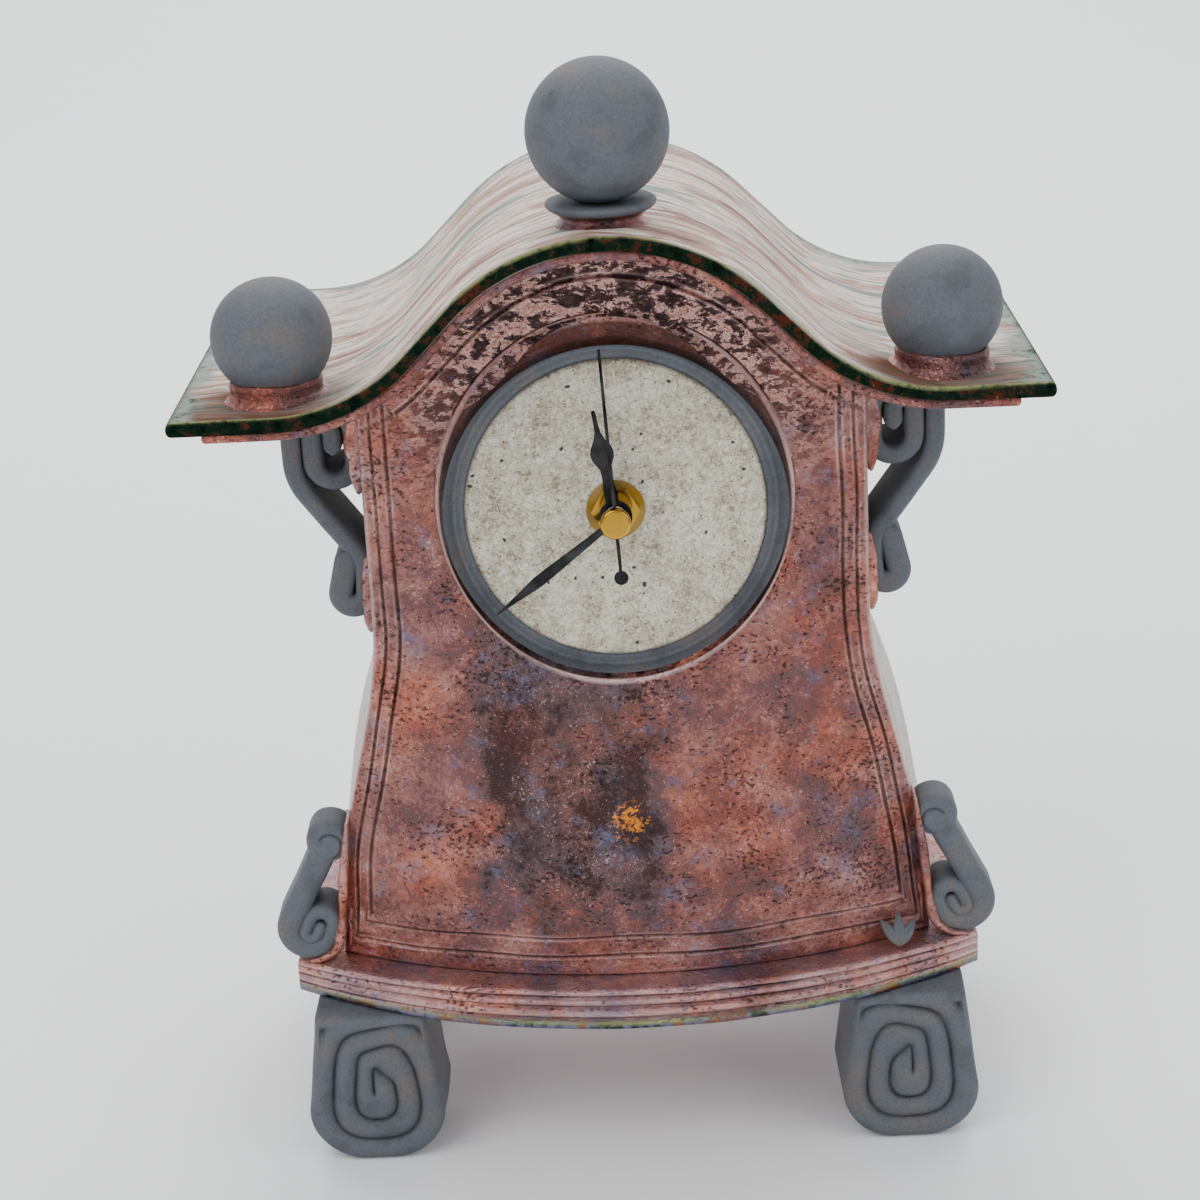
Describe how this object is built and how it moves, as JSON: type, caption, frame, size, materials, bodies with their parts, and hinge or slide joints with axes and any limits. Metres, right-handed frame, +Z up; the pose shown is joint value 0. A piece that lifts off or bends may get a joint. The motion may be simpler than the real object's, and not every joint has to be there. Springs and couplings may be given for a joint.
{
  "type": "ceramic mantel clock",
  "caption": "Slab-built raku mantel clock with a flared bowed body, ogee roof, ball finials, coiled scroll brackets and feet, and a quartz movement that turns the hands in a round porthole.",
  "frame": {"origin": "on the table under the middle of the clock's overall box", "axes": "+Z up, -Y towards the viewer who reads the dial, +X to that viewer's right"},
  "size_m": [0.2136, 0.136, 0.2923],
  "materials": {
    "smoked_clay": "matte, smoke-blackened bare clay",
    "copper_glaze": "reduced copper lustre glaze, satin metallic",
    "pale_glaze": "pale pinkish crackle glaze, satin",
    "white_glaze": "off-white glaze, fine crackle and pits",
    "black_plastic": "moulded, fine texture",
    "white_plastic": "moulded, smooth",
    "green_laminate": "circuit board, satin",
    "brass": "polished",
    "copper_wire": "enamelled winding",
    "black_metal": "satin black paint",
    "steel": "plain sheet and wire",
    "cell_wrap": "plain wrapped cell, satin",
    "rubber": "matte"
  },
  "bodies": {
    "case": {"apex_ball": "smoked_clay", "apex_pedestal": "copper_glaze", "back_panel": "pale_glaze", "base_slab": "copper_glaze", "brass_washer": "brass", "circuit_board": "green_laminate", "dial_face": "white_glaze", "dial_plate": "smoked_clay", "front_panel": "copper_glaze", "hex_nut": "brass", "leaf_sprig": "smoked_clay", "left_ball": "smoked_clay", "left_ball_collar": "copper_glaze", "left_front_foot": "smoked_clay", "left_lower_bracket": "smoked_clay", "left_rear_foot": "smoked_clay", "left_side_panel": "pale_glaze", "left_upper_bracket": "smoked_clay", "motor_coil": "copper_wire", "movement_case": "black_plastic", "movement_cover": "black_plastic", "negative_contact": "steel", "positive_contact": "steel", "right_ball": "smoked_clay", "right_ball_collar": "copper_glaze", "right_front_foot": "smoked_clay", "right_lower_bracket": "smoked_clay", "right_rear_foot": "smoked_clay", "right_side_panel": "pale_glaze", "right_upper_bracket": "smoked_clay", "roof_lining": "copper_glaze", "roof_slab": "pale_glaze", "rubber_washer": "rubber", "stator": "steel", "threaded_bush": "brass"},
    "seconds": {"second_arbor": "brass", "second_hand": "black_metal", "hand_cap": "brass"},
    "minutes": {"minute_arbor": "brass", "minute_hand": "black_metal"},
    "hours": {"hour_wheel": "white_plastic", "hour_hand": "black_metal"},
    "centre": {"centre_wheel": "white_plastic"},
    "third": {"third_wheel": "white_plastic"},
    "step": {"step_wheel": "white_plastic"},
    "rotor": {"rotor": "white_plastic"},
    "reverser": {"reverser_wheel": "white_plastic", "set_knob": "black_plastic"},
    "battery": {"battery": "cell_wrap"}
  },
  "joints": [
    {"name": "seconds_turn", "type": "hinge", "parent": "case", "child": "seconds", "pos_m": [0, -0.03652, 0.177], "axis": [0, 0.9953, -0.097], "continuous": true},
    {"name": "minutes_turn", "type": "hinge", "parent": "case", "child": "minutes", "pos_m": [0, -0.03652, 0.177], "axis": [0, 0.9953, -0.097], "continuous": true},
    {"name": "hours_turn", "type": "hinge", "parent": "case", "child": "hours", "pos_m": [0, -0.03652, 0.177], "axis": [0, 0.9953, -0.097], "continuous": true},
    {"name": "centre_turn", "type": "hinge", "parent": "case", "child": "centre", "pos_m": [0, -0.03652, 0.177], "axis": [0, 0.9953, -0.097], "continuous": true},
    {"name": "third_turn", "type": "hinge", "parent": "case", "child": "third", "pos_m": [-0.01084, -0.03661, 0.17606], "axis": [0, 0.9953, -0.097], "continuous": true},
    {"name": "step_turn", "type": "hinge", "parent": "case", "child": "step", "pos_m": [0.0054, -0.03561, 0.18631], "axis": [0, 0.9953, -0.097], "continuous": true},
    {"name": "rotor_turn", "type": "hinge", "parent": "case", "child": "rotor", "pos_m": [0.01461, -0.03528, 0.18965], "axis": [0, 0.9953, -0.097], "continuous": true},
    {"name": "reverser_turn", "type": "hinge", "parent": "case", "child": "reverser", "pos_m": [0.01128, -0.03692, 0.17292], "axis": [0, 0.9953, -0.097], "continuous": true},
    {"name": "battery_out", "type": "slide", "parent": "case", "child": "battery", "axis": [0, 0.9953, -0.097], "range_m": [0, 0.085]}
  ],
  "couplings": [
    {"joint": "third_turn", "follows": "seconds_turn", "ratio": -0.13333},
    {"joint": "centre_turn", "follows": "seconds_turn", "ratio": 0.016667},
    {"joint": "step_turn", "follows": "seconds_turn", "ratio": -5},
    {"joint": "rotor_turn", "follows": "seconds_turn", "ratio": 30},
    {"joint": "reverser_turn", "follows": "minutes_turn", "ratio": -0.33333},
    {"joint": "hours_turn", "follows": "minutes_turn", "ratio": 0.083333}
  ]
}
